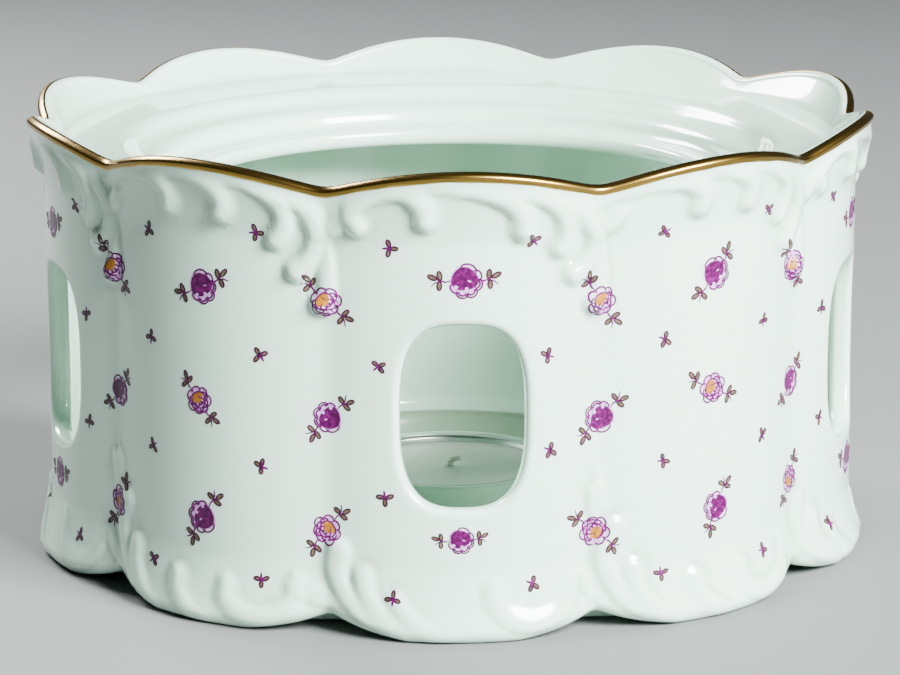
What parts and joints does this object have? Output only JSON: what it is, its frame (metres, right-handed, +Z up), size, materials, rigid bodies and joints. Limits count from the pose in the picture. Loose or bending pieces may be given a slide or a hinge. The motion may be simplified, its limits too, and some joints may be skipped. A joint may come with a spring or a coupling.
{
  "type": "food warmer stand",
  "caption": "Scalloped porcelain warmer stand: round opening with a stepped dish for a pot, oval air windows, gilt lip, and a tealight in a floor socket.",
  "frame": {"origin": "on the shell's axis, at the plane of the table that it stands on", "axes": "+Z up along the shell's axis; -Y towards the front window; +X to the right as seen from the front"},
  "size_m": [0.159, 0.1634, 0.0843],
  "materials": {
    "glazed_porcelain": "clear gloss glaze over cool white porcelain",
    "fired_gold": "polished fired gilding",
    "cup_aluminium": "pressed foil, satin",
    "candle_wax": "white paraffin wax, soft sheen",
    "wick_cotton": "waxed braided cotton",
    "sustainer_steel": "thin pressed steel"
  },
  "bodies": {
    "warmer": {"warmer_body": "glazed_porcelain", "gilt_rim_band": "fired_gold"},
    "tealight": {"tealight_cup": "cup_aluminium", "tealight_wax": "candle_wax", "tealight_wick": "wick_cotton", "wick_sustainer": "sustainer_steel"}
  },
  "joints": [
    {"name": "tealight_lift", "type": "slide", "parent": "warmer", "child": "tealight", "axis": [0, 0, 1], "range_m": [0, 0.1]}
  ]
}
